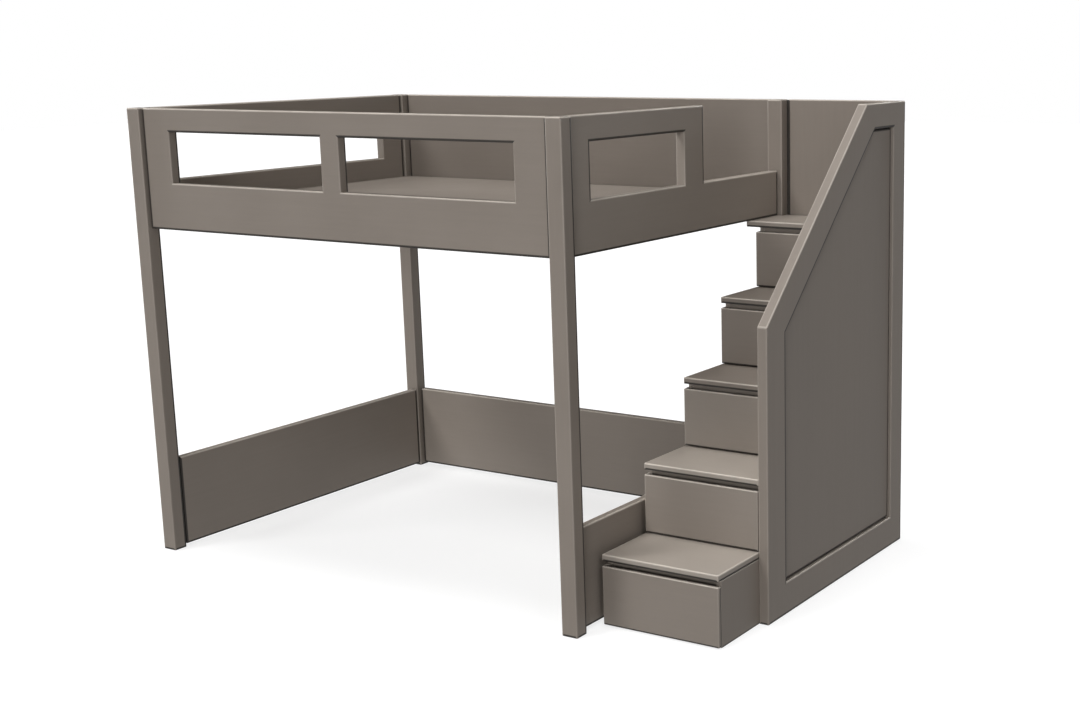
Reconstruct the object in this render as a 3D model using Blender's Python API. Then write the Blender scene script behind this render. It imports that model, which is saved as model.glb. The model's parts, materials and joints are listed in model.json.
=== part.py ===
"""Loft bed with a storage staircase.

Metres, +Z up. X runs along the bed's long front from left to right, Y runs from front to back.
Pieces are laid out from the bed's front left corner on the floor. One empty, loft_bed, then
carries them all, so that the origin is on the floor under the middle of the whole object.
"""

import math

import bmesh
import bpy
from mathutils import Vector

# Driving dimensions of the bed
HEIGHT = 1.750  # floor to the top of the posts and guards
BED_LENGTH = 2.040  # over the posts, along X
BED_DEPTH = 1.512  # over the posts, along Y
POST_X = 0.064
POST_Y = 0.056
GUARD_THICK = 0.038
GUARD_BACK_THICK = 0.022
FRONT_INSET = 0.015  # front guard's face behind the posts' front faces
END_INSET = 0.018  # end guards' outer faces inside the posts' outer faces
BACK_INSET = 0.005
WINDOW_SILL = 1.470
WINDOW_HEAD = 1.662
WINDOW_MARGIN = 0.206  # post's outer face to the first window, on the long front
WINDOW_STILE = 0.087  # between the two front windows
END_WINDOW = (0.178, 0.763)  # along Y, in the right guard
LEFT_WINDOW = (0.178, 1.325)  # along Y, in the left guard
ENTRY_START = 0.892  # Y where the right guard steps down to a low rail

# Low boards near the floor
LOW_BOARD_THICK = 0.030
LOW_BOARD_TOP = 0.372
LOW_BOARD_BOTTOM = 0.012
LOW_LEFT_INSET = 0.002  # inner face inside the posts' inner faces
LOW_RIGHT_INSET = 0.020
LOW_BACK_INSET = 0.022

# Platform
DECK_TOP = 1.379
DECK_THICK = 0.012
SLAT_COUNT = 5
SLAT_WIDTH = 0.090
SLAT_THICK = 0.018
LEDGER_THICK = 0.030
LEDGER_HEIGHT = 0.040
BEAM_WIDTH = 0.044
BEAM_HEIGHT = 0.045

# Staircase
STEPS = 5
RISE = 0.2585
GOING = 0.2715
STAIR_FRONT = 0.148  # Y of the lowest step's front
STAIR_GAP = 0.005  # between the bed and the stairs
STAIR_WIDTH = 0.466  # left end of the treads to the stair side frame
TREAD_THICK = 0.024
GROOVE = 0.018  # finger groove above each drawer front
GROOVE_DEPTH = 0.035
CARCASS = 0.018  # inner side board, cheek and back panel
RAIL_THICK = 0.018  # rail at the back of each finger groove
RAIL_OVERLAP = 0.020  # how far it hangs behind its drawer front
BACK_PANEL_START = 0.006  # back panel's left edge from the treads' left end

# Stair side frame
FRAME_THICK = 0.038
FRAME_FRONT = 0.418  # Y of its front edge
SLOPE_START = 1.046  # height where its front edge starts to slope back
SLOPE_END = 1.178  # Y where the slope meets the top edge
FRAME_STILE = 0.130
FRAME_REAR = 0.100
FRAME_TOP = 0.094
FRAME_BOTTOM = 0.118
FRAME_SLOPE = 0.115
RECESS = 0.012

# Drawers
FRONT_THICK = 0.018
FRONT_GAP = 0.003
FLOOR_GAP = 0.004
BOX_WALL = 0.012
BOX_BOTTOM = 0.006
BOX_LIFT = 0.012  # box's underside above its step's base
BOTTOM_LIFT = 0.008  # box bottom above the box's underside
BOX_DROP = 0.028  # box's top edge below its front's top edge
BOX_DEPTH = 0.450
TOP_BOX_DEPTH = 0.235
RUNNER_SPACE = 0.013
RUNNER_DEPTH = 0.011
RUNNER_HEIGHT = 0.035
RUNNER_WALL = 0.0015
RUNNER_LIFT = 0.060

GAP = 0.0003  # between pieces that touch
EDGE = 0.003  # rounding of the edges that show
FINE_EDGE = 0.001
EDGE_SEGMENTS = 2
BEVEL_ANGLE = math.radians(30)  # only outer corners sharper than this are rounded

TAUPE = (0.262, 0.226, 0.197)
PINE = (0.520, 0.380, 0.230)
BIRCH = (0.600, 0.470, 0.310)
STEEL = (0.620, 0.620, 0.630)

STAIR_LEFT = BED_LENGTH + STAIR_GAP
STAIR_RIGHT = STAIR_LEFT + STAIR_WIDTH
TOTAL_LENGTH = STAIR_RIGHT + FRAME_THICK
BACK_PANEL_FRONT = BED_DEPTH - CARCASS
GUARD_BOTTOM = STEPS * RISE
WINDOW_ROWS = (GUARD_BOTTOM, WINDOW_SILL, WINDOW_HEAD, HEIGHT)


def clear_scene():
    for old in list(bpy.data.objects):
        bpy.data.objects.remove(old, do_unlink=True)


def empty(name, location, parent=None):
    marker = bpy.data.objects.new(name, None)
    marker.location = location
    marker.parent = parent
    bpy.context.collection.objects.link(marker)
    return marker


def finish(name, colour, roughness, metallic):
    material = bpy.data.materials.new(name)
    material.use_nodes = True
    shader = material.node_tree.nodes["Principled BSDF"]
    shader.inputs["Base Color"].default_value = (*colour, 1.0)
    shader.inputs["Roughness"].default_value = roughness
    shader.inputs["Metallic"].default_value = metallic
    return material


def painted(name):
    return finish(name + "_paint", TAUPE, 0.55, 0.0)


def pine(name):
    return finish(name + "_pine", PINE, 0.6, 0.0)


def birch(name):
    return finish(name + "_birch", BIRCH, 0.5, 0.0)


def steel(name):
    return finish(name + "_steel", STEEL, 0.35, 1.0)


def add_piece(name, shape, coating, parent, origin=(0.0, 0.0, 0.0), edge=EDGE):
    """Puts the shape in the scene, with its own origin in its middle. origin is the parent's place."""
    places = [vertex.co for vertex in shape.verts]
    low = Vector([min(place[i] for place in places) for i in range(3)])
    high = Vector([max(place[i] for place in places) for i in range(3)])
    middle = (low + high) / 2
    bmesh.ops.translate(shape, vec=-middle, verts=shape.verts)
    bmesh.ops.recalc_face_normals(shape, faces=shape.faces)
    weight = shape.edges.layers.float.new("bevel_weight_edge")
    for corner in shape.edges:
        if corner.is_convex and corner.calc_face_angle() > BEVEL_ANGLE:
            corner[weight] = 1.0
    mesh = bpy.data.meshes.new(name)
    shape.to_mesh(mesh)
    shape.free()
    piece = bpy.data.objects.new(name, mesh)
    piece.data.materials.append(coating(name))
    piece.location = middle - Vector(origin)
    piece.parent = parent
    bpy.context.collection.objects.link(piece)
    if edge:
        bevel = piece.modifiers.new("eased_edges", "BEVEL")
        bevel.width = edge
        bevel.segments = EDGE_SEGMENTS
        bevel.limit_method = "WEIGHT"
    return piece


def board(name, x, y, z, coating, parent, **options):
    """A plain board. x, y and z are each its (low, high)."""
    shape = bmesh.new()
    bmesh.ops.create_cube(shape, size=1.0)
    size = Vector((x[1] - x[0], y[1] - y[0], z[1] - z[0]))
    middle = Vector((sum(x), sum(y), sum(z))) / 2
    bmesh.ops.scale(shape, vec=size, verts=shape.verts)
    bmesh.ops.translate(shape, vec=middle, verts=shape.verts)
    return add_piece(name, shape, coating, parent, **options)


def cut_board(name, points, faces, across, span, coating, parent, **options):
    """A board cut to an outline. across is its thickness axis, 0 to 2, and span its (low, high) there.

    points are in the other two axes, in X, Y, Z order, and faces are loops of those points.
    """
    shape = bmesh.new()
    flat = []
    for point in points:
        place = list(point)
        place.insert(across, span[0])
        flat.append(shape.verts.new(place))
    sheets = [shape.faces.new([flat[i] for i in face]) for face in faces]
    grown = bmesh.ops.extrude_face_region(shape, geom=sheets)
    moved = [item for item in grown["geom"] if isinstance(item, bmesh.types.BMVert)]
    step = Vector((0.0, 0.0, 0.0))
    step[across] = span[1] - span[0]
    bmesh.ops.translate(shape, vec=step, verts=moved)
    return add_piece(name, shape, coating, parent, **options)


def cell_board(name, columns, rows, open_cells, across, span, parent):
    """A painted board made of a grid of cells, with the cells in open_cells left out."""
    points = [(u, v) for u in columns for v in rows]
    high = len(rows)
    faces = []
    for i in range(len(columns) - 1):
        for j in range(high - 1):
            if (i, j) not in open_cells:
                corner = i * high + j
                faces.append((corner, corner + high, corner + high + 1, corner + 1))
    used = sorted({i for face in faces for i in face})
    order = {old: new for new, old in enumerate(used)}
    kept = [points[i] for i in used]
    loops = [tuple(order[i] for i in face) for face in faces]
    cut_board(name, kept, loops, across, span, painted, parent)


def ring_faces(count):
    """Faces between an outer loop, numbered first, and an inner loop of as many points."""
    return [(i, (i + 1) % count, count + (i + 1) % count, count + i) for i in range(count)]


def step_front(step):
    """Y of a step's front. Step 1 is the lowest."""
    return STAIR_FRONT + (step - 1) * GOING


def step_top(step):
    return step * RISE


def front_top(step):
    """Height of the top edge of a step's drawer front."""
    return step_top(step) - TREAD_THICK - GROOVE


def make_posts(bed):
    left = (0.0, POST_X)
    right = (BED_LENGTH - POST_X, BED_LENGTH)
    near = (0.0, POST_Y)
    far = (BED_DEPTH - POST_Y, BED_DEPTH)
    rise = (0.0, HEIGHT)
    board("post_front_left", left, near, rise, painted, bed)
    board("post_front_right", right, near, rise, painted, bed)
    board("post_back_left", left, far, rise, painted, bed)
    board("post_back_right", right, far, rise, painted, bed)


def make_guards(bed):
    along = (POST_X + GAP, BED_LENGTH - POST_X - GAP)
    deep = (POST_Y + GAP, BED_DEPTH - POST_Y - GAP)
    window = (BED_LENGTH - 2 * WINDOW_MARGIN - WINDOW_STILE) / 2
    first = WINDOW_MARGIN + window
    second = first + WINDOW_STILE
    columns = (along[0], WINDOW_MARGIN, first, second, second + window, along[1])
    front = (FRONT_INSET, FRONT_INSET + GUARD_THICK)
    cell_board("guard_front", columns, WINDOW_ROWS, {(1, 1), (3, 1)}, 1, front, bed)

    left = (END_INSET, END_INSET + GUARD_THICK)
    columns = (deep[0], *LEFT_WINDOW, deep[1])
    cell_board("guard_left", columns, WINDOW_ROWS, {(1, 1)}, 0, left, bed)

    right = (BED_LENGTH - END_INSET - GUARD_THICK, BED_LENGTH - END_INSET)
    columns = (deep[0], *END_WINDOW, ENTRY_START, deep[1])
    entry = {(1, 1), (3, 1), (3, 2)}
    cell_board("guard_right", columns, WINDOW_ROWS, entry, 0, right, bed)

    back = (BED_DEPTH - BACK_INSET - GUARD_BACK_THICK, BED_DEPTH - BACK_INSET)
    board("guard_back", along, back, (GUARD_BOTTOM, HEIGHT), painted, bed)


def make_low_boards(bed):
    height = (LOW_BOARD_BOTTOM, LOW_BOARD_TOP)
    along = (POST_X + GAP, BED_LENGTH - POST_X - GAP)
    deep = (POST_Y + GAP, BED_DEPTH - POST_Y - GAP)
    inner = POST_X - LOW_LEFT_INSET
    outer = BED_LENGTH - LOW_RIGHT_INSET
    face = BED_DEPTH - POST_Y + LOW_BACK_INSET
    board("low_board_left", (inner - LOW_BOARD_THICK, inner), deep, height, painted, bed)
    board("low_board_right", (outer - LOW_BOARD_THICK, outer), deep, height, painted, bed)
    board("low_board_back", along, (face, face + LOW_BOARD_THICK), height, painted, bed)


def make_platform(bed):
    left = END_INSET + GUARD_THICK + GAP
    right = BED_LENGTH - left
    near = FRONT_INSET + GUARD_THICK + GAP
    far = BED_DEPTH - BACK_INSET - GUARD_BACK_THICK - GAP
    slat_top = DECK_TOP - DECK_THICK - GAP
    rest = slat_top - SLAT_THICK - GAP

    ledge = (rest - LEDGER_HEIGHT, rest)
    run = (POST_X + GAP, BED_LENGTH - POST_X - GAP)
    board("ledger_front", run, (near, near + LEDGER_THICK), ledge, pine, bed, edge=FINE_EDGE)
    board("ledger_back", run, (far - LEDGER_THICK, far), ledge, pine, bed, edge=FINE_EDGE)
    middle = (near + far) / 2
    beam = (middle - BEAM_WIDTH / 2, middle + BEAM_WIDTH / 2)
    under = (rest - BEAM_HEIGHT, rest)
    board("centre_beam", (left, right), beam, under, pine, bed, edge=FINE_EDGE)

    pitch = (right - left) / SLAT_COUNT
    for i in range(SLAT_COUNT):
        centre = left + (i + 0.5) * pitch
        width = (centre - SLAT_WIDTH / 2, centre + SLAT_WIDTH / 2)
        depth = (near + GAP, far - GAP)
        height = (rest + GAP, slat_top)
        board(f"slat_{i + 1}", width, depth, height, pine, bed, edge=FINE_EDGE)

    make_deck(bed, left, right, near, far)


def make_deck(bed, left, right, near, far):
    """The platform board, notched round the four posts."""
    west = POST_X + GAP
    east = BED_LENGTH - POST_X - GAP
    south = POST_Y + GAP
    north = BED_DEPTH - POST_Y - GAP
    outline = [
        (west, near),
        (east, near),
        (east, south),
        (right, south),
        (right, north),
        (east, north),
        (east, far),
        (west, far),
        (west, north),
        (left, north),
        (left, south),
        (west, south),
    ]
    span = (DECK_TOP - DECK_THICK, DECK_TOP)
    loop = [tuple(range(len(outline)))]
    cut_board("deck", outline, loop, 2, span, painted, bed, edge=FINE_EDGE)


def make_treads(bed):
    """Each tread but the top one reaches back under the next step's drawer front."""
    across = (STAIR_LEFT, STAIR_RIGHT - GAP)
    for step in range(1, STEPS + 1):
        back = step_front(step + 1) + FRONT_THICK
        if step == STEPS:
            back = BACK_PANEL_FRONT - GAP
        height = (step_top(step) - TREAD_THICK, step_top(step))
        board(f"tread_{step}", across, (step_front(step), back), height, painted, bed)


def make_inner_side(bed):
    """The stepped board at the stairs' left end, with a finger notch under each tread's nosing."""
    outline = []
    for step in range(1, STEPS + 1):
        face = step_front(step) + FRONT_THICK + GAP
        under = step_top(step) - TREAD_THICK - GAP
        foot = 0.0 if step == 1 else step_top(step - 1) - TREAD_THICK - GAP
        outline.append((face, foot))
        outline.append((face, front_top(step)))
        outline.append((step_front(step) + GROOVE_DEPTH, front_top(step)))
        outline.append((step_front(step) + GROOVE_DEPTH, under))
    outline.append((BACK_PANEL_FRONT - GAP, under))
    outline.append((BACK_PANEL_FRONT - GAP, 0.0))
    loop = [tuple(range(len(outline)))]
    span = (STAIR_LEFT, STAIR_LEFT + CARCASS)
    cut_board("stair_inner_side", outline, loop, 0, span, painted, bed, edge=FINE_EDGE)


def slope_line(offset):
    """The sloped edge moved square to itself into the frame, as height = rise * y + base."""
    run = SLOPE_END - FRAME_FRONT
    rise = (HEIGHT - SLOPE_START) / run
    base = SLOPE_START - rise * FRAME_FRONT - offset * math.hypot(1.0, rise)
    return rise, base


def frame_loop(front, back, bottom, top, offset):
    """The five corners of the side frame's outline, or of its opening."""
    rise, base = slope_line(offset)
    return [
        (front, bottom),
        (back, bottom),
        (back, top),
        ((top - base) / rise, top),
        (front, rise * front + base),
    ]


def make_outer_side(bed):
    """The stairs' right side: a frame with a sloped upper edge, and a panel set back in it."""
    outer = frame_loop(FRAME_FRONT, BED_DEPTH, 0.0, HEIGHT, 0.0)
    front = FRAME_FRONT + FRAME_STILE
    back = BED_DEPTH - FRAME_REAR
    top = HEIGHT - FRAME_TOP
    inner = frame_loop(front, back, FRAME_BOTTOM, top, FRAME_SLOPE)
    span = (STAIR_RIGHT, TOTAL_LENGTH)
    faces = ring_faces(len(outer))
    cut_board("stair_side_frame", outer + inner, faces, 0, span, painted, bed)

    slope = FRAME_SLOPE + GAP
    infill = frame_loop(front + GAP, back - GAP, FRAME_BOTTOM + GAP, top - GAP, slope)
    span = (STAIR_RIGHT, TOTAL_LENGTH - RECESS)
    loop = [tuple(range(len(infill)))]
    cut_board("stair_side_panel", infill, loop, 0, span, painted, bed, edge=FINE_EDGE)


def bay(step):
    """X of the two faces that a drawer slides between."""
    right = STAIR_RIGHT - CARCASS if step == 1 else STAIR_RIGHT
    return STAIR_LEFT + CARCASS, right


def make_carcass(bed):
    """The lowest step's right cheek, the back panel, and the rail under each tread."""
    start = STAIR_FRONT + FRONT_THICK + GAP
    cheek = (STAIR_RIGHT - CARCASS, STAIR_RIGHT - GAP)
    depth = (start, start + BOX_DEPTH)
    height = (0.0, step_top(1) - TREAD_THICK - GAP)
    board("stair_cheek", cheek, depth, height, painted, bed, edge=FINE_EDGE)

    across = (STAIR_LEFT + BACK_PANEL_START, STAIR_RIGHT - GAP)
    board("stair_back_panel", across, (BACK_PANEL_FRONT, BED_DEPTH), (0.0, HEIGHT), painted, bed)

    for step in range(1, STEPS + 1):
        west, east = bay(step)
        face = step_front(step) + GROOVE_DEPTH
        height = (front_top(step) - RAIL_OVERLAP, step_top(step) - TREAD_THICK - GAP)
        depth = (face, face + RAIL_THICK)
        name = f"groove_rail_{step}"
        board(name, (west + GAP, east - GAP), depth, height, painted, bed, edge=FINE_EDGE)


def box_depth(step):
    return TOP_BOX_DEPTH if step == STEPS else BOX_DEPTH


def make_drawer(bed, step):
    """A drawer that slides out to the front: its front, four walls in one ring, and its bottom."""
    place = ((STAIR_LEFT + STAIR_RIGHT) / 2, step_front(step), step_top(step - 1))
    slider = empty(f"drawer_{step}", place, bed)
    options = {"parent": slider, "origin": place}

    right = STAIR_RIGHT if step == 1 else STAIR_RIGHT - FRONT_GAP
    low = FLOOR_GAP if step == 1 else step_top(step - 1) + FRONT_GAP
    face = (step_front(step), step_front(step) + FRONT_THICK - GAP)
    height = (low, front_top(step))
    board(f"drawer_front_{step}", (STAIR_LEFT, right), face, height, painted, **options)

    west, east = bay(step)
    west += RUNNER_SPACE
    east -= RUNNER_SPACE
    south = step_front(step) + FRONT_THICK
    north = south + box_depth(step)
    span = (step_top(step - 1) + BOX_LIFT, front_top(step) - BOX_DROP)
    outer = [(west, south), (east, south), (east, north), (west, north)]
    inner_x = (west + BOX_WALL, east - BOX_WALL)
    inner_y = (south + BOX_WALL, north - BOX_WALL)
    inner = [
        (inner_x[0], inner_y[0]),
        (inner_x[1], inner_y[0]),
        (inner_x[1], inner_y[1]),
        (inner_x[0], inner_y[1]),
    ]
    walls = outer + inner
    name = f"drawer_box_{step}"
    cut_board(name, walls, ring_faces(4), 2, span, birch, edge=FINE_EDGE, **options)

    floor = span[0] + BOTTOM_LIFT
    fit_x = (inner_x[0] + GAP, inner_x[1] - GAP)
    fit_y = (inner_y[0] + GAP, inner_y[1] - GAP)
    thick = (floor, floor + BOX_BOTTOM)
    board(f"drawer_bottom_{step}", fit_x, fit_y, thick, birch, edge=0.0, **options)


def make_runners(bed, step):
    """A pair of steel channels, open towards the drawer."""
    west, east = bay(step)
    south = step_front(step) + FRONT_THICK + GROOVE_DEPTH
    north = step_front(step) + FRONT_THICK + box_depth(step)
    low = step_top(step - 1) + RUNNER_LIFT
    for side, wall, towards in (("left", west + GAP, 1.0), ("right", east - GAP, -1.0)):
        web = wall + towards * RUNNER_WALL
        lip = wall + towards * RUNNER_DEPTH
        outline = [
            (wall, low),
            (lip, low),
            (lip, low + RUNNER_WALL),
            (web, low + RUNNER_WALL),
            (web, low + RUNNER_HEIGHT - RUNNER_WALL),
            (lip, low + RUNNER_HEIGHT - RUNNER_WALL),
            (lip, low + RUNNER_HEIGHT),
            (wall, low + RUNNER_HEIGHT),
        ]
        loop = [tuple(range(len(outline)))]
        name = f"runner_{step}_{side}"
        cut_board(name, outline, loop, 1, (south, north), steel, bed, edge=0.0)


def make_loft_bed():
    clear_scene()
    bed = empty("loft_bed", (-TOTAL_LENGTH / 2, -BED_DEPTH / 2, 0.0))
    make_posts(bed)
    make_guards(bed)
    make_low_boards(bed)
    make_platform(bed)
    make_treads(bed)
    make_inner_side(bed)
    make_outer_side(bed)
    make_carcass(bed)
    for step in range(1, STEPS + 1):
        make_drawer(bed, step)
        make_runners(bed, step)


make_loft_bed()
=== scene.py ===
"""Loft bed with a storage staircase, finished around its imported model.

Metres, +Z up, front at -Y.
"""

import json
import math
import random

import bmesh
import bpy
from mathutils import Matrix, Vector


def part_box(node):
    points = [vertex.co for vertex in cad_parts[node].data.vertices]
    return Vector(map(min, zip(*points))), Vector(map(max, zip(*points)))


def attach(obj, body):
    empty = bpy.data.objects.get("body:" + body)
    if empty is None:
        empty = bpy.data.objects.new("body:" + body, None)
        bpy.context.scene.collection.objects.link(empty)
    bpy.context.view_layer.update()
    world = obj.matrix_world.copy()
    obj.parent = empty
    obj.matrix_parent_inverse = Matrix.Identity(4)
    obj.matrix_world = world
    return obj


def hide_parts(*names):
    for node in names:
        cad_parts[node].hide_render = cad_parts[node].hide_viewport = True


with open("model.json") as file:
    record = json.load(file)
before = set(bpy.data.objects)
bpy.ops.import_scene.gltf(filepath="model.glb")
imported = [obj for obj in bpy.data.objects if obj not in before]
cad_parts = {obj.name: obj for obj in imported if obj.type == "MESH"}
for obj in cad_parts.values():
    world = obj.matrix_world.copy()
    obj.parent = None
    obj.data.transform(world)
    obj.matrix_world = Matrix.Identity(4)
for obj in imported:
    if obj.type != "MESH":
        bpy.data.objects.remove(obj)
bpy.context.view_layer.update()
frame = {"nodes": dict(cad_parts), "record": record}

STEPS = 5
GAP = 0.0003  # between pieces that touch
OPENING_INSET = 0.001  # the record's openings stay this far inside the boards round them

# Axes, and the sides of a board as their axis and way
X, Y, Z = 0, 1, 2
LEFT, RIGHT = (X, -1.0), (X, 1.0)
FRONT, BACK = (Y, -1.0), (Y, 1.0)
BOTTOM, TOP = (Z, -1.0), (Z, 1.0)

# Painted boards
EDGE = 0.0032  # rounding of the painted edges that show
EDGE_SEGMENTS = 4
FINE_EDGE = 0.0010
FINE_SEGMENTS = 2
SEAM = 0.0050  # open width where two painted boards meet
TONGUE_SETBACK = 0.35  # of the board's thickness, from each face to the tongue in the seam
TONGUE_ROUNDING = 0.0004
GRAIN_SHIFT = 5.0  # the most by which one board's pattern is moved, either way

# Marks on the edges of painted boards: a painted highlight, partly wear, on edges that look up,
# and painted shade on those that look down or back and in the seams
# Mark values: painted highlights (partly wear) above 0, painted shade below 0
WORN_HIGHLIGHT, RUBBED_HIGHLIGHT, TOUCHED_HIGHLIGHT, SHADE_MARK = 1.0, 0.5, 0.15, -1.0
STEEP = 0.6  # how far up an edge has to look to get the full painted highlight, partly wear
TILT = 0.3  # and to get the half highlight, or how far down or back to get painted shade
MARK_BAND = 0.0030  # beside the rounding, in which the painted highlight or painted shade fades
BAND_SHARE = 0.15  # the most that a band takes of the thickness between the roundings
BROAD = 4.5  # how many bands wide a flat has to be to get one on each side

# Side of the stairs
SLOPE_FOOT = 1.046  # height where the side frame's front edge starts to slope back
SLOPE_RUN = 0.760  # from there back to where the slope meets the top edge
SLOPE_WIDTH = 0.115  # of the frame along the slope, square to it
REBATE = 0.0050  # width of the shadow line round the panel
REBATE_DEPTH = 0.008

# Drawer boxes
BOX_WALL = 0.012
PLY_LAYER = 0.0015

# Drawer runners' moving members, in the space between the drawer and the steel channel
INNER_DEPTH = 0.0082
RUNNER_CLEAR = 0.0040
RUNNER_SETBACK = 0.004
RUNNER_STEEL = 0.0012
RUNNER_ROUNDING = 0.0004
SCREW_PLACES = (0.10, 0.50, 0.90)  # as shares of the member's length
SCREW_RADIUS = 0.0036
SCREW_HEIGHT = 0.0018
SCREW_SIDES = 18
SCREW_DOME = 0.4  # of its height, rounded over
SCREW_RIM = 0.3  # of its radius, round the recess
SCREW_RECESS = 0.5  # of its height

# Telling faces and edges apart
SQUARE = 0.9  # how squarely a face has to look one way to count as that side
FLAT = 0.99999  # and not to count as rounded
SHARP = math.radians(30)
SMOOTH_ANGLE = math.radians(40)

# Camera
CAMERA_PLACE = (3.7794, -4.8051, 1.9882)
CAMERA_TURN = (78.410, 0.496, 29.817)  # degrees
CAMERA_LENS = 52.264
CAMERA_SHIFT = -0.1944
CAMERA_SENSOR = 36.0

# Lamps: name, azimuth (0 shines from the front, 90 from the right), elevation, strength
LAMPS = (
    ("key", -31.0, 48.0, 1.47),
    ("top", 0.0, 88.0, 1.97),
    ("left_fill", -90.0, 10.0, 2.50),
    ("front_fill", 18.0, 8.0, 1.12),
    ("right_fill", 60.0, 30.0, 0.40),
    ("right_top", 90.0, 48.0, 0.18),
    ("back_top", 180.0, 48.0, 0.25),
    ("back_fill", 180.0, 12.0, 1.40),
)
LAMP_SPREAD = 20.0  # degrees
FLOOR_BOUNCE = 0.425  # light from below the horizon
SKY_LIGHT = 0.0  # and from above it
HORIZON = 0.02  # half the height of the band between the two

# Floor
FLOOR_SIZE = 60.0
FLOOR_LEVEL = -0.0005
FLOOR_GREY = 0.30
FLOOR_GLOW = 0.74


# ---------------------------------------------------------------- materials

def new_material(name):
    material = bpy.data.materials.new(name)
    material.use_nodes = True
    nodes = material.node_tree.nodes
    return material, nodes, material.node_tree.links, nodes["Principled BSDF"]


def add_node(nodes, kind, **settings):
    node = nodes.new(kind)
    for key, value in settings.items():
        if key in node.inputs.keys():
            node.inputs[key].default_value = value
        else:
            setattr(node, key, value)
    return node


def stretched(nodes, links, source, scale):
    """The coordinates from source, with the pattern's size set along each axis."""
    mapping = add_node(nodes, "ShaderNodeMapping", Scale=scale)
    links.new(source, mapping.inputs["Vector"])
    return mapping.outputs["Vector"]


def noise(nodes, links, vector, scale, detail=2.0, roughness=0.5):
    made = add_node(nodes, "ShaderNodeTexNoise", Scale=scale, Detail=detail, Roughness=roughness)
    links.new(vector, made.inputs["Vector"])
    return made.outputs["Fac"]


def attribute(nodes, name, output):
    return add_node(nodes, "ShaderNodeAttribute", attribute_name=name).outputs[output]


def ranged(nodes, links, value, low, high, to_low, to_high):
    made = nodes.new("ShaderNodeMapRange")
    for key, number in zip((1, 2, 3, 4), (low, high, to_low, to_high)):
        made.inputs[key].default_value = number
    links.new(value, made.inputs[0])
    return made.outputs[0]


def spread(nodes, links, pattern, low, high):
    """A noise pattern's usual range, 0.3 to 0.7, brought to between low and high."""
    return ranged(nodes, links, pattern, 0.3, 0.7, low, high)


def times(nodes, links, first, second):
    made = add_node(nodes, "ShaderNodeMath", operation="MULTIPLY")
    links.new(first, made.inputs[0])
    if isinstance(second, float):
        made.inputs[1].default_value = second
    else:
        links.new(second, made.inputs[1])
    return made.outputs[0]


def plus(nodes, links, first, second):
    made = add_node(nodes, "ShaderNodeMath", operation="ADD")
    links.new(first, made.inputs[0])
    links.new(second, made.inputs[1])
    return made.outputs[0]


def tinted(nodes, links, factor, dark, light):
    """A colour between dark and light, by factor."""
    made = add_node(nodes, "ShaderNodeMix", data_type="RGBA")
    made.inputs["A"].default_value = (*dark, 1.0)
    made.inputs["B"].default_value = (*light, 1.0)
    links.new(factor, made.inputs["Factor"])
    return made.outputs["Result"]


def painted_over(nodes, links, under, colour, factor):
    """The colour under, covered with a plain colour by factor."""
    made = add_node(nodes, "ShaderNodeMix", data_type="RGBA")
    made.inputs["B"].default_value = (*colour, 1.0)
    links.new(under, made.inputs["A"])
    links.new(factor, made.inputs["Factor"])
    return made.outputs["Result"]


def bumped(nodes, links, height, distance, strength, under=None):
    made = add_node(nodes, "ShaderNodeBump", Distance=distance, Strength=strength)
    links.new(height, made.inputs["Height"])
    if under is not None:
        links.new(under, made.inputs["Normal"])
    return made.outputs["Normal"]


PAINT_DARK = (0.220, 0.189, 0.162)
PAINT_LIGHT = (0.248, 0.214, 0.184)
# Colour of the painted highlights and of boards painted lighter, partly wear
PAINT_WORN_AND_LIT = (0.560, 0.508, 0.448)
# Colour of the painted shade in seams, under and behind edges, and on boards painted darker
PAINTED_SHADE_COLOUR = (0.022, 0.019, 0.016)
SHADE_COVER = 0.94  # how much of the paint the painted shade hides
SHADE_FULL = -0.8  # the mark at which it does
PINE_PALE = (0.700, 0.500, 0.290)
PINE_LATEWOOD = (0.430, 0.260, 0.120)
BIRCH_DARK = (0.520, 0.385, 0.240)
BIRCH_PALE = (0.720, 0.585, 0.410)
BIRCH_CROSSED = (0.330, 0.205, 0.110)  # the layers that show their end grain
ZINC_DARK = (0.52, 0.53, 0.55)
ZINC_PALE = (0.70, 0.70, 0.70)

# Painted light and shade: how much lighter (above 0) or darker each whole board is painted,
# standing in for how it is lit
BOARD_PAINTED_LIGHT = {
    "tread_1": 0.27,
    "tread_2": 0.29,
    "tread_4": -0.12,
    "tread_5": 0.08,
    "drawer_front_2": 0.03,
    "drawer_front_3": 0.14,
    "guard_back": -0.11,
    "stair_side_frame": -0.02,
    "stair_side_panel": -0.08,
    "guard_right": 0.10,
    "low_board_left": 0.05,
    "low_board_back": 0.06,
    "deck": -0.11,
}


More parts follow.
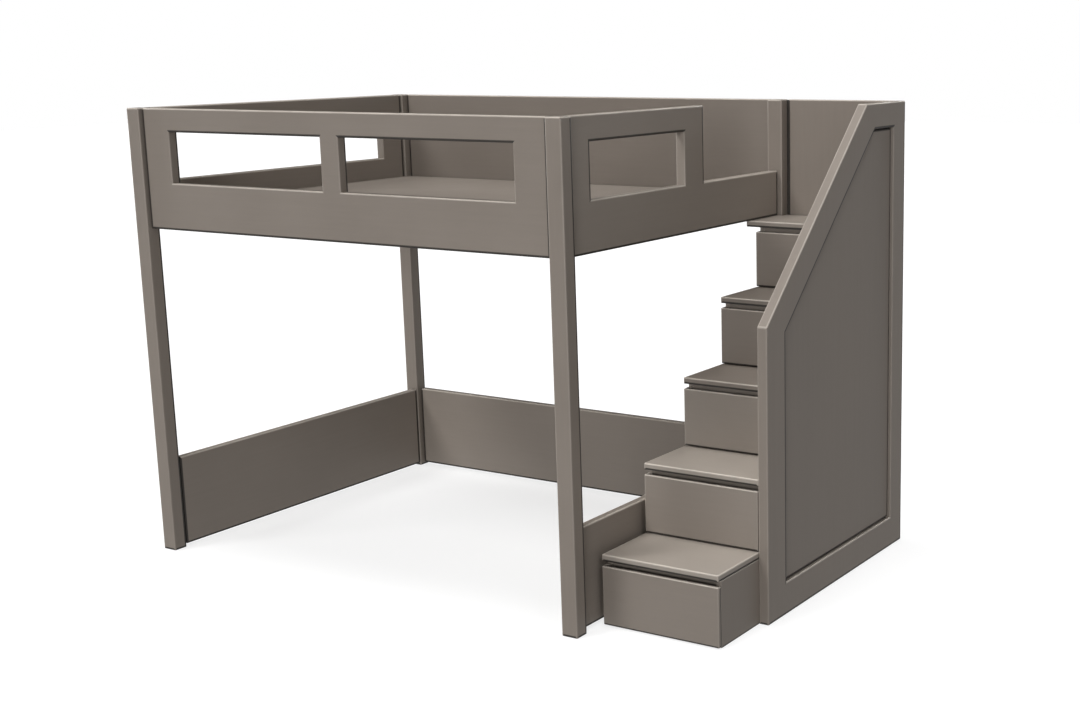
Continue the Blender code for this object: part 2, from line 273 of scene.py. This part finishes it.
def painted_wood(name):
    """Satin paint over close-grained wood, with painted highlights (partly wear) on upward edges,
    painted shade in the seams and on downward or back edges, and whole boards painted lighter or
    darker as painted light and shade.
    """
    material, nodes, links, shader = new_material(name)
    source = attribute(nodes, "board_place", "Vector")
    cloud = noise(nodes, links, source, 2.6, 3.0, 0.55)
    streak_place = stretched(nodes, links, source, (1.2, 34.0, 34.0))
    streak = noise(nodes, links, streak_place, 2.0, 4.0, 0.6)
    pore_place = stretched(nodes, links, source, (14.0, 420.0, 420.0))
    pore = noise(nodes, links, pore_place, 1.0, 2.0, 0.5)
    peel = noise(nodes, links, source, 420.0, 1.0, 0.4)

    cloud_part = spread(nodes, links, cloud, 0.10, 0.70)
    streak_part = spread(nodes, links, streak, -0.14, 0.14)
    pore_part = spread(nodes, links, pore, -0.10, 0.10)
    shade = plus(nodes, links, plus(nodes, links, cloud_part, streak_part), pore_part)
    colour = tinted(nodes, links, shade, PAINT_DARK, PAINT_LIGHT)

    # Painted light and shade: each whole board is painted lighter or darker for how it is lit
    tone = attribute(nodes, "tone", "Fac")
    lit_board = ranged(nodes, links, tone, 0.0, 1.0, 0.0, 1.0)
    colour = painted_over(nodes, links, colour, PAINT_WORN_AND_LIT, lit_board)
    shaded_board = ranged(nodes, links, tone, -1.0, 0.0, 1.0, 0.0)
    colour = painted_over(nodes, links, colour, PAINTED_SHADE_COLOUR, shaded_board)

    # Painted highlight, partly wear, where the edge mark is above 0, and painted shade where it is
    # below 0
    edge = attribute(nodes, "edge", "Fac")
    patches = noise(nodes, links, source, 9.0, 4.0, 0.6)
    patchy = ranged(nodes, links, patches, 0.35, 0.65, 0.60, 0.85)
    edge_highlight = times(nodes, links, ranged(nodes, links, edge, 0.0, WORN_HIGHLIGHT, 0.0, 1.0), patchy)
    colour = painted_over(nodes, links, colour, PAINT_WORN_AND_LIT, edge_highlight)
    edge_shade = ranged(nodes, links, edge, SHADE_FULL, 0.0, SHADE_COVER, 0.0)
    colour = painted_over(nodes, links, colour, PAINTED_SHADE_COLOUR, edge_shade)
    links.new(colour, shader.inputs["Base Color"])

    clouded = spread(nodes, links, cloud, 0.38, 0.46)
    rough = plus(nodes, links, clouded, times(nodes, links, pore, 0.08))
    links.new(rough, shader.inputs["Roughness"])
    normal = bumped(nodes, links, streak, 0.0003, 0.30)
    normal = bumped(nodes, links, pore, 0.0001, 0.50, normal)
    normal = bumped(nodes, links, peel, 0.00008, 0.40, normal)
    links.new(normal, shader.inputs["Normal"])
    shader.inputs["Specular IOR Level"].default_value = 0.42
    return material


def bare_pine(name):
    """Planed pine: growth rings along the board, darker latewood, a few knots."""
    material, nodes, links, shader = new_material(name)
    source = nodes.new("ShaderNodeTexCoord").outputs["Object"]
    long_place = stretched(nodes, links, source, (30.0, 1.6, 30.0))
    warp = noise(nodes, links, long_place, 1.3, 3.0, 0.5)
    rings = add_node(nodes, "ShaderNodeTexWave", Scale=2.2, Distortion=7.0, Detail=2.0)
    rings.inputs["Detail Scale"].default_value = 1.4
    links.new(long_place, rings.inputs["Vector"])
    fibre_place = stretched(nodes, links, source, (700.0, 12.0, 700.0))
    fibre = noise(nodes, links, fibre_place, 1.0, 2.0)
    ring = rings.outputs["Fac"]
    mixed = plus(nodes, links, times(nodes, links, ring, 0.55), times(nodes, links, warp, 0.45))
    colour = tinted(nodes, links, mixed, PINE_PALE, PINE_LATEWOOD)
    links.new(colour, shader.inputs["Base Color"])
    links.new(spread(nodes, links, fibre, 0.52, 0.68), shader.inputs["Roughness"])
    normal = bumped(nodes, links, fibre, 0.0003, 0.35)
    normal = bumped(nodes, links, ring, 0.0004, 0.25, normal)
    links.new(normal, shader.inputs["Normal"])
    return material


def birch_ply(name):
    """Clear-sealed birch plywood: pale figure on the faces, and its glued layers on the edges."""
    material, nodes, links, shader = new_material(name)
    source = attribute(nodes, "board_place", "Vector")
    figure_place = stretched(nodes, links, source, (2.0, 26.0, 2.0))
    figure = noise(nodes, links, figure_place, 2.4, 4.0, 0.6)
    fibre_place = stretched(nodes, links, source, (30.0, 900.0, 900.0))
    fibre = noise(nodes, links, fibre_place, 1.0, 2.0)
    shade = plus(nodes, links, times(nodes, links, figure, 0.8), times(nodes, links, fibre, 0.25))
    colour = tinted(nodes, links, shade, BIRCH_DARK, BIRCH_PALE)

    through = nodes.new("ShaderNodeSeparateXYZ")
    links.new(source, through.inputs[0])
    layer = add_node(nodes, "ShaderNodeMath", operation="PINGPONG")
    layer.inputs[1].default_value = PLY_LAYER
    links.new(through.outputs["Z"], layer.inputs[0])
    turn, turned = PLY_LAYER * 0.45, PLY_LAYER * 0.60
    crossed = ranged(nodes, links, layer.outputs[0], turn, turned, 0.0, 0.75)
    colour = painted_over(nodes, links, colour, BIRCH_CROSSED, crossed)
    links.new(colour, shader.inputs["Base Color"])
    links.new(spread(nodes, links, fibre, 0.36, 0.50), shader.inputs["Roughness"])
    links.new(bumped(nodes, links, fibre, 0.0002, 0.25), shader.inputs["Normal"])
    return material


def runner_steel(name):
    """Bright zinc-plated steel with rolling lines."""
    material, nodes, links, shader = new_material(name)
    source = nodes.new("ShaderNodeTexCoord").outputs["Object"]
    line_place = stretched(nodes, links, source, (900.0, 6.0, 900.0))
    lines = noise(nodes, links, line_place, 1.0, 3.0)
    spangle = noise(nodes, links, source, 60.0, 2.0)
    colour = tinted(nodes, links, spangle, ZINC_DARK, ZINC_PALE)
    links.new(colour, shader.inputs["Base Color"])
    links.new(spread(nodes, links, lines, 0.24, 0.40), shader.inputs["Roughness"])
    links.new(bumped(nodes, links, lines, 0.0001, 0.2), shader.inputs["Normal"])
    shader.inputs["Metallic"].default_value = 1.0
    return material


# ---------------------------------------------------------------- making boards

def axis_vector(axis, length):
    vector = Vector((0.0, 0.0, 0.0))
    vector[axis] = length
    return vector


def block(name, low, high):
    """Adds a block between two corners, and opens it in edit mode."""
    bpy.ops.object.select_all(action="DESELECT")
    low, high = Vector(low), Vector(high)
    bpy.ops.mesh.primitive_cube_add(size=1.0, location=(low + high) / 2)
    piece = bpy.context.object
    piece.name = name
    piece.data.name = name
    piece.scale = high - low
    bpy.ops.object.transform_apply(location=True, rotation=True, scale=True)
    bpy.ops.object.mode_set(mode="EDIT")
    return piece


def cut(point, square_to, trim=False):
    """Cuts the whole piece in a plane, and to trim it, drops the side that square_to points to."""
    bpy.ops.mesh.select_all(action="SELECT")
    bpy.ops.mesh.bisect(plane_co=point, plane_no=square_to, clear_outer=trim, use_fill=trim)


def cut_across(axis, place, trim=False):
    cut(axis_vector(axis, place), axis_vector(axis, 1.0), trim)


def extrude(axis, length):
    """Extrudes the selected faces along one axis."""
    bpy.ops.mesh.extrude_region_move(TRANSFORM_OT_translate={"value": axis_vector(axis, length)})


def slide(axis, length):
    """Moves what is selected along one axis."""
    bpy.ops.transform.translate(value=axis_vector(axis, length))


def looks(face, side, squarely=SQUARE):
    axis, way = side
    return face.normal[axis] * way > squarely


def pick(piece, mode, wanted):
    """Selects the faces or edges that wanted says yes to."""
    bpy.ops.mesh.select_mode(type=mode)
    bpy.ops.mesh.select_all(action="DESELECT")
    shape = bmesh.from_edit_mesh(piece.data)
    for part in shape.faces if mode == "FACE" else shape.edges:
        if wanted(part):
            part.select_set(True)
    bmesh.update_edit_mesh(piece.data)


def open_through(piece, thickness, inside):
    """Makes a hole through the board at its two faces whose middles are inside."""

    def opened(face):
        return abs(face.normal[thickness]) > SQUARE and inside(face.calc_center_median())

    pick(piece, "FACE", opened)
    bpy.ops.mesh.bridge_edge_loops()


def opening(name):
    """The two corners of one of the record's openings, out to the boards round it."""
    for entry in frame["record"]["physics"]["openings"]:
        if entry["name"] == name:
            low, high = (Vector(corner) for corner in entry["box_m"])
            grown = Vector((OPENING_INSET, OPENING_INSET, OPENING_INSET))
            return low - grown, high + grown
    raise ValueError("no opening " + name)


def cut_windows(piece, thickness, names):
    """Opens windows through an upright board, from edge to edge of the named openings."""
    along = Y if thickness == X else X
    for name in names:
        low, high = opening(name)
        for axis in (along, Z):
            cut_across(axis, low[axis])
            cut_across(axis, high[axis])

        def inside(middle):
            return all(low[axis] < middle[axis] < high[axis] for axis in (along, Z))

        open_through(piece, thickness, inside)


def grow_top(piece, start, level, top):
    """Raises the part of the board's top, at level, that lies behind start."""

    def raised(face):
        middle = face.calc_center_median()
        return looks(face, TOP) and middle.y > start and abs(middle.z - level) < GAP

    cut_across(Y, start)
    pick(piece, "FACE", raised)
    extrude(Z, top - level)


def edge_light_mark(way):
    """Painted highlight, partly wear, on edges that look up, and painted shade on those that look
    down or back.
    """
    if way.z < -TILT or way.y > TILT:
        return SHADE_MARK
    if way.z > STEEP:
        return WORN_HIGHLIGHT
    return RUBBED_HIGHLIGHT if way.z > TILT else TOUCHED_HIGHLIGHT


def is_sharp(edge):
    return edge.is_convex and edge.calc_face_angle(0.0) > SHARP


def from_edge(place, start, end):
    """How far place is from the edge between start and end."""
    run = end - start
    share = min(1.0, max(0.0, (place - start).dot(run) / run.length_squared))
    return (start + share * run - place).length


def from_line(place, start, end):
    """How far place is from the endless line through start and end."""
    return (place - start).cross((end - start).normalized()).length


def round_edges(piece, width, segments=FINE_SEGMENTS):
    pick(piece, "EDGE", is_sharp)
    bpy.ops.mesh.bevel(offset=width, segments=segments, profile=0.5, clamp_overlap=True)


def ease_edges(piece, width, seams=()):
    """Rounds the outer corners, and marks where the painted highlights and painted shade go.

    Each of the seams is a point and the way the board's end looks there.
    """
    shape = bmesh.from_edit_mesh(piece.data)
    normals = {tuple(round(part, 4) for part in face.normal) for face in shape.faces}
    flats = [Vector(normal) for normal in normals]
    edges = []
    for edge in shape.edges:
        if is_sharp(edge):
            way = sum((face.normal for face in edge.link_faces), Vector()).normalized()
            edges.append((edge.verts[0].co.copy(), edge.verts[1].co.copy(), edge_light_mark(way)))

    round_edges(piece, width, EDGE_SEGMENTS)
    band = min(MARK_BAND, (min(piece.dimensions) - 2 * width) * BAND_SHARE)

    def banded(face):
        """The flats that are broad enough for a band on both sides."""
        broad = 2 * face.calc_area() / face.calc_perimeter() > BROAD * band
        return broad and any(face.normal.dot(flat) > FLAT for flat in flats)

    pick(piece, "FACE", banded)
    bpy.ops.mesh.inset(thickness=band)
    bpy.ops.mesh.inset(thickness=band)
    bpy.ops.object.mode_set(mode="OBJECT")
    mark_edges(piece, edges, seams, width, band)


def write_marks(piece, marks):
    made = piece.data.attributes.new("edge", "FLOAT", "CORNER")
    made.data.foreach_set("value", marks)


def mark_edges(piece, edges, seams, width, band):
    """Writes each face's marks: a painted highlight ends in one band beside the rounding, painted
    shade in the second.
    """
    places = [corner.co for corner in piece.data.vertices]
    marks = []
    for face in piece.data.polygons:
        corners = [places[index] for index in face.vertices]
        depths = None
        # Faces at a seam get painted shade, where shade falls between the boards
        for point, facing in seams:
            into = [(point - corner).dot(facing) for corner in corners]
            if max(into) < width + 2 * band + GAP:
                depths, mark = into, SHADE_MARK
        if depths is None and edges:

            def away(edge):
                return sum(from_edge(corner, *edge[:2]) for corner in corners)

            start, end, mark = min(edges, key=away)
            depths = [from_line(corner, start, end) for corner in corners]
        reach = width + GAP + (band if mark == SHADE_MARK else 0.0)
        marks += [mark if depth < reach else 0.0 for depth in depths]
    write_marks(piece, marks)


def join_pieces(pieces, name):
    bpy.ops.object.select_all(action="DESELECT")
    for piece in pieces:
        piece.select_set(True)
    bpy.context.view_layer.objects.active = pieces[0]
    bpy.ops.object.join()
    pieces[0].name = name
    pieces[0].data.name = name
    return pieces[0]


def add_tongues(piece, tongues):
    """Fills seams at the board's ends with thinner tongues, each its axis and where it reaches,
    painted dark all over as painted shade.
    """
    places = [corner.co for corner in piece.data.vertices]
    boards = [piece]
    for along, post in tongues:
        through = Y if along == X else X
        across = [place[through] for place in places]
        setback = TONGUE_SETBACK * (max(across) - min(across))
        run = [place[along] for place in places]
        end = min((min(run), max(run)), key=lambda side: abs(side - post))
        heights = [place.z for place in places if abs(place[along] - end) < GAP]
        start, stop = axis_vector(Z, min(heights)), axis_vector(Z, max(heights))
        start[along], stop[along] = sorted((post, end + math.copysign(GAP, post - end)))
        start[through], stop[through] = min(across) + setback, max(across) - setback
        tongue = block("tongue", start, stop)
        round_edges(tongue, TONGUE_ROUNDING)
        bpy.ops.object.mode_set(mode="OBJECT")
        # The tongue sits deep in the seam and is painted dark as painted shade
        write_marks(tongue, [SHADE_MARK] * len(tongue.data.loops))
        boards.append(tongue)
    join_pieces(boards, piece.name)


def lay_grain(piece, along):
    """Gives the board its own coordinates, with the first along its grain."""
    sizes = piece.dimensions
    order = [along] + sorted((i for i in range(3) if i != along), key=lambda i: -sizes[i])
    chance = random.Random(piece.name)
    shift = [chance.uniform(-GRAIN_SHIFT, GRAIN_SHIFT) for _ in range(2)] + [0.0]
    lowest = [min(vertex.co[axis] for vertex in piece.data.vertices) for axis in order]
    places = []
    for vertex in piece.data.vertices:
        places += [vertex.co[order[i]] - lowest[i] + shift[i] for i in range(3)]
    made = piece.data.attributes.new("board_place", "FLOAT_VECTOR", "POINT")
    made.data.foreach_set("vector", places)


# Paints the whole board lighter or darker as painted light and shade
def set_painted_light(piece, tone):
    made = piece.data.attributes.new("tone", "FLOAT", "POINT")
    made.data.foreach_set("value", [tone] * len(piece.data.vertices))


def finish_piece(piece, material, slot, body, *nodes):
    bpy.ops.object.select_all(action="DESELECT")
    piece.select_set(True)
    bpy.context.view_layer.objects.active = piece
    bpy.ops.object.shade_smooth_by_angle(angle=SMOOTH_ANGLE)
    piece.data.materials.append(material)
    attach(piece, body)
    if nodes:
        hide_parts(*nodes)
    piece.select_set(False)


def end_seams(low, high, ends):
    """A point on each of the block's ends that are listed, and the way it looks."""
    return [
        (Vector(low if way < 0.0 else high), axis_vector(axis, way)) for axis, way in ends
    ]


def painted_board(
    node, along, body="frame", shape=None, edge=EDGE, top=None, joints=None, reach=None, dark=()
):
    """A painted board in place of its node.

    shape works on it in edit mode before its edges are eased, and may give further seams. top is
    the height it starts from, where shape builds it up further. joints is the axis whose two ends
    meet other boards, with painted shade in the seams there. reach is the axis of one end that
    stands off its neighbour, and where the neighbour starts. dark lists further sides that get
    painted shade.
    """
    low, high = (list(corner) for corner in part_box(node))
    start, end = list(low), list(high)
    if top is not None:
        end[Z] = top
    ends = list(dark)
    tongues = []
    if joints is not None:
        start[joints] += SEAM
        end[joints] -= SEAM
        ends += [(joints, -1.0), (joints, 1.0)]
        tongues = [(joints, low[joints]), (joints, high[joints])]
    if reach is not None:
        tongues = [reach]
    seams = end_seams(start, end, ends)
    piece = block(node + "_board", start, end)
    if shape:
        seams += shape(piece, low, high) or []
    ease_edges(piece, edge, seams)
    if tongues:
        add_tongues(piece, tongues)
    lay_grain(piece, along)
    set_painted_light(piece, BOARD_PAINTED_LIGHT.get(node, 0.0))
    finish_piece(piece, PAINT, "painted_wood", body, node)


# ---------------------------------------------------------------- camera, light, floor

def set_camera():
    data = bpy.data.cameras.new("camera")
    data.lens = CAMERA_LENS
    data.sensor_width = CAMERA_SENSOR
    data.shift_x = CAMERA_SHIFT
    camera = bpy.data.objects.new("camera", data)
    camera.location = CAMERA_PLACE
    camera.rotation_euler = [math.radians(angle) for angle in CAMERA_TURN]
    bpy.context.scene.collection.objects.link(camera)
    bpy.context.scene.camera = camera


def soft_lamp(name, azimuth, elevation, strength):
    """A far soft light."""
    data = bpy.data.lights.new(name, "SUN")
    data.energy = strength
    data.angle = math.radians(LAMP_SPREAD)
    lamp = bpy.data.objects.new(name, data)
    a, e = math.radians(azimuth), math.radians(elevation)
    towards = Vector((math.sin(a) * math.cos(e), -math.cos(a) * math.cos(e), math.sin(e)))
    lamp.rotation_euler = towards.to_track_quat("Z", "Y").to_euler()
    bpy.context.scene.collection.objects.link(lamp)


def light_room():
    """Soft lamps all round, a pale bounce from below, and a plain white backdrop."""
    world = bpy.data.worlds.new("studio")
    bpy.context.scene.world = world
    world.use_nodes = True
    nodes, links = world.node_tree.nodes, world.node_tree.links
    lit = nodes["Background"]
    lit.inputs["Color"].default_value = (1.0, 1.0, 1.0, 1.0)
    height = nodes.new("ShaderNodeSeparateXYZ")
    links.new(nodes.new("ShaderNodeTexCoord").outputs["Generated"], height.inputs[0])
    level = height.outputs["Z"]
    around = ranged(nodes, links, level, -HORIZON, HORIZON, FLOOR_BOUNCE, SKY_LIGHT)
    links.new(around, lit.inputs["Strength"])
    seen = add_node(nodes, "ShaderNodeBackground", Strength=1.0)
    seen.inputs["Color"].default_value = (1.0, 1.0, 1.0, 1.0)
    path = nodes.new("ShaderNodeLightPath")
    mixed = nodes.new("ShaderNodeMixShader")
    links.new(path.outputs["Is Camera Ray"], mixed.inputs[0])
    links.new(lit.outputs[0], mixed.inputs[1])
    links.new(seen.outputs[0], mixed.inputs[2])
    links.new(mixed.outputs[0], nodes["World Output"].inputs["Surface"])
    for name, azimuth, elevation, strength in LAMPS:
        soft_lamp(name, azimuth, elevation, strength)


def lay_floor():
    bpy.ops.object.select_all(action="DESELECT")
    bpy.ops.mesh.primitive_plane_add(size=FLOOR_SIZE, location=(0.0, 0.0, FLOOR_LEVEL))
    floor = bpy.context.object
    floor.name = "floor"
    material, _, _, shader = new_material("pale_floor")
    shader.inputs["Base Color"].default_value = (FLOOR_GREY, FLOOR_GREY, FLOOR_GREY, 1.0)
    shader.inputs["Roughness"].default_value = 1.0
    shader.inputs["Specular IOR Level"].default_value = 0.0
    shader.inputs["Emission Color"].default_value = (1.0, 1.0, 1.0, 1.0)
    shader.inputs["Emission Strength"].default_value = FLOOR_GLOW
    floor.data.materials.append(material)
    floor.visible_diffuse = False
    floor.visible_glossy = False


# ---------------------------------------------------------------- the bed

PAINT = painted_wood("painted_board")
PINE = bare_pine("planed_pine")
BIRCH = birch_ply("birch_plywood")
STEEL = runner_steel("zinc_steel")


def windowed(thickness, *names):
    return lambda piece, low, high: cut_windows(piece, thickness, names)


def shape_entry(piece, low, high):
    """The right guard: full height as far as the stair entry, and a window in that part."""
    entry = opening("stair_entry")[0].y
    sill = opening("right_window")[0].z
    cut_across(Y, entry)
    pick(piece, "FACE", lambda face: looks(face, TOP) and face.calc_center_median().y < entry)
    extrude(Z, high[Z] - sill)
    cut_windows(piece, X, ["right_window"])


def make_bed():
    windows = windowed(Y, "front_window_left", "front_window_right")
    painted_board("guard_front", X, shape=windows, joints=X, dark=[BOTTOM])
    painted_board("guard_left", Y, shape=windowed(X, "left_window"), joints=Y, dark=[BOTTOM])
    sill = opening("right_window")[0].z
    painted_board("guard_right", Y, shape=shape_entry, top=sill, joints=Y, dark=[BOTTOM])
    for corner in ("front_left", "front_right", "back_left", "back_right"):
        painted_board(f"post_{corner}", Z)
    painted_board("guard_back", X, joints=X, dark=[BOTTOM])
    painted_board("deck", X, edge=FINE_EDGE)
    painted_board("low_board_left", Y, joints=Y, dark=[BOTTOM])
    painted_board("low_board_right", Y, joints=Y, dark=[BOTTOM])
    painted_board("low_board_back", X, joints=X, dark=[BOTTOM])


def slope_plane(shift):
    """A point on the side frame's slope, moved into the frame by shift, and the way it faces."""
    low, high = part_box("stair_side_frame")
    facing = Vector((0.0, SLOPE_FOOT - high[Z], SLOPE_RUN)).normalized()
    return Vector((0.0, low[Y], SLOPE_FOOT)) - shift * facing, facing


def shape_side_frame(piece, low, high):
    """Cuts the slope, then opens the frame round its panel."""
    cut(*slope_plane(0.0), trim=True)
    inner_low, inner_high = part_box("stair_side_panel")
    near, far = inner_low[Y] - GAP, inner_high[Y] + GAP
    foot, head = inner_low[Z] - GAP, inner_high[Z] + GAP
    for axis, place in ((Y, near), (Y, far), (Z, foot), (Z, head)):
        cut_across(axis, place)
    point, facing = slope_plane(SLOPE_WIDTH)
    cut(point, facing)

    def inside(middle):
        framed = near < middle.y < far and foot < middle.z < head
        return framed and (middle - point).dot(facing) < 0.0

    open_through(piece, X, inside)


def shape_side_panel(piece, low, high):
    """Cuts the panel's slope, rebates its outer face all round for a shadow line, and gives the
    seams where painted shade goes beside it.
    """
    cut(*slope_plane(SLOPE_WIDTH + GAP), trim=True)
    cut_across(X, high[X] - REBATE_DEPTH, trim=True)
    pick(piece, "FACE", lambda face: looks(face, RIGHT))
    bpy.ops.mesh.inset(thickness=REBATE)
    extrude(X, REBATE_DEPTH)
    field_low = [place + REBATE for place in low]
    field_high = [place - REBATE for place in high]
    # Painted shade goes round the panel's raised field, beside the rebate
    seams = end_seams(field_low, field_high, [FRONT, BACK, BOTTOM, TOP])
    return seams + [slope_plane(SLOPE_WIDTH + GAP + REBATE)]


def shape_inner_side(piece, low, high):
    """Builds the stepped board up from the lowest step, with a notch under each tread."""
    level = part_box("drawer_front_1")[1][Z]
    for step in range(1, STEPS + 1):
        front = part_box(f"drawer_front_{step}")[1]
        if step > 1:
            grow_top(piece, front[Y] + 2 * GAP, level, front[Z])
            level = front[Z]
        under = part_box(f"tread_{step}")[0][Z] - GAP
        grow_top(piece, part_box(f"groove_rail_{step}")[0][Y], level, under)
        level = under


def shape_top_tread(piece, low, high):
    """Widens the top tread, in front of the back post, until it lies under the right guard."""
    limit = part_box("post_back_right")[0][Y] - GAP
    guard_low, guard_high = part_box("guard_right")
    reach = (guard_low[X] + guard_high[X]) / 2 - low[X]
    cut_across(Y, limit)
    pick(piece, "FACE", lambda face: looks(face, LEFT) and face.calc_center_median().y < limit)
    extrude(X, reach)


def make_stairs():
    for step in range(1, STEPS + 1):
        widened = shape_top_tread if step == STEPS else None
        painted_board(f"tread_{step}", X, shape=widened, dark=[BOTTOM])
        painted_board(f"groove_rail_{step}", X, edge=FINE_EDGE)
        painted_board(f"drawer_front_{step}", X, f"drawer_{step}", dark=[BOTTOM, BACK])
    post_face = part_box("post_back_right")[1][X] + GAP
    painted_board("stair_back_panel", Z, reach=(X, post_face), dark=[LEFT])
    painted_board("stair_side_frame", Z, shape=shape_side_frame)
    painted_board("stair_side_panel", Z, shape=shape_side_panel, edge=FINE_EDGE)
    painted_board("stair_cheek", Z, edge=FINE_EDGE)
    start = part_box("drawer_front_1")[1][Z]
    painted_board("stair_inner_side", Z, shape=shape_inner_side, edge=FINE_EDGE, top=start)


def ply_board(name, low, high, along):
    """A plywood board with fine edges, its grain along the axis given."""
    piece = block(name, low, high)
    round_edges(piece, FINE_EDGE)
    bpy.ops.object.mode_set(mode="OBJECT")
    lay_grain(piece, along)
    return piece


def make_drawer_box(step):
    """Two sides, with the front and the back between them, round a plywood bottom."""
    node = f"drawer_box_{step}"
    low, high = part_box(node)
    boards = []
    for side, start in (("left", low[X]), ("right", high[X] - BOX_WALL)):
        end = (start + BOX_WALL, high[Y], high[Z])
        boards.append(ply_board(f"{node}_{side}", (start, low[Y], low[Z]), end, Y))
    inner_low, inner_high = low[X] + BOX_WALL + GAP, high[X] - BOX_WALL - GAP
    for side, start in (("front", low[Y]), ("back", high[Y] - BOX_WALL)):
        end = (inner_high, start + BOX_WALL, high[Z])
        boards.append(ply_board(f"{node}_{side}", (inner_low, start, low[Z]), end, X))
    box = join_pieces(boards, node + "_walls")
    finish_piece(box, BIRCH, "birch_ply", f"drawer_{step}", node)
    bottom = ply_board(f"drawer_bottom_{step}_ply", *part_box(f"drawer_bottom_{step}"), X)
    finish_piece(bottom, BIRCH, "birch_ply", f"drawer_{step}", f"drawer_bottom_{step}")


def make_inner_runner(step, side):
    """The runner's moving member: a shallow channel screwed to the drawer's side."""
    low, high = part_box(f"runner_{step}_{side}")
    box_low, box_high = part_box(f"drawer_box_{step}")
    inward = 1.0 if side == "left" else -1.0
    wall = box_low[X] if side == "left" else box_high[X]
    back = wall - inward * GAP
    lip = back - inward * INNER_DEPTH
    near = (min(back, lip), box_low[Y] + RUNNER_SETBACK, low[Z] + RUNNER_CLEAR)
    far = (max(back, lip), box_high[Y] - RUNNER_SETBACK, high[Z] - RUNNER_CLEAR)
    piece = block(f"runner_{step}_{side}_inner", near, far)
    pick(piece, "FACE", lambda face: looks(face, (X, -inward)))
    bpy.ops.mesh.inset(thickness=RUNNER_STEEL)
    slide(X, inward * (INNER_DEPTH - RUNNER_STEEL))
    round_edges(piece, RUNNER_ROUNDING)
    bpy.ops.object.mode_set(mode="OBJECT")
    web = back - inward * RUNNER_STEEL
    pieces = [piece]
    for share in SCREW_PLACES:
        place = (web, near[Y] + share * (far[Y] - near[Y]), (near[Z] + far[Z]) / 2)
        pieces.append(pan_head_screw(place, -inward))
    join_pieces(pieces, piece.name)
    finish_piece(piece, STEEL, "runner_steel", f"drawer_{step}")


def pan_head_screw(place, outward):
    """A domed screw head with a round recess, on a face that looks along X."""
    bpy.ops.object.select_all(action="DESELECT")
    bpy.ops.mesh.primitive_cylinder_add(
        vertices=SCREW_SIDES,
        radius=SCREW_RADIUS,
        depth=SCREW_HEIGHT,
        location=Vector(place) + axis_vector(X, outward * SCREW_HEIGHT / 2),
        rotation=(0.0, math.pi / 2 * outward, 0.0),
    )
    screw = bpy.context.object
    screw.name = "screw_head"
    bpy.ops.object.transform_apply(location=True, rotation=True, scale=True)
    bpy.ops.object.mode_set(mode="EDIT")
    outer = (X, outward)
    pick(screw, "FACE", lambda face: looks(face, outer))
    bpy.ops.mesh.bevel(
        offset=SCREW_HEIGHT * SCREW_DOME, segments=3, profile=0.5, clamp_overlap=True
    )
    pick(screw, "FACE", lambda face: looks(face, outer, FLAT))
    bpy.ops.mesh.inset(thickness=SCREW_RADIUS * SCREW_RIM)
    slide(X, -outward * SCREW_HEIGHT * SCREW_RECESS)
    bpy.ops.object.mode_set(mode="OBJECT")
    return screw


def make_drawers():
    for step in range(1, STEPS + 1):
        make_drawer_box(step)
        for side in ("left", "right"):
            make_inner_runner(step, side)


def dress_nodes():
    """The nodes whose shape is already right get their finish."""
    for name, node in frame["nodes"].items():
        if node.hide_render:
            continue
        node.data.materials.clear()
        node.data.materials.append(STEEL if name.startswith("runner") else PINE)


set_camera()
light_room()
lay_floor()
make_bed()
make_stairs()
make_drawers()
dress_nodes()
bpy.context.scene.view_settings.view_transform = "Standard"
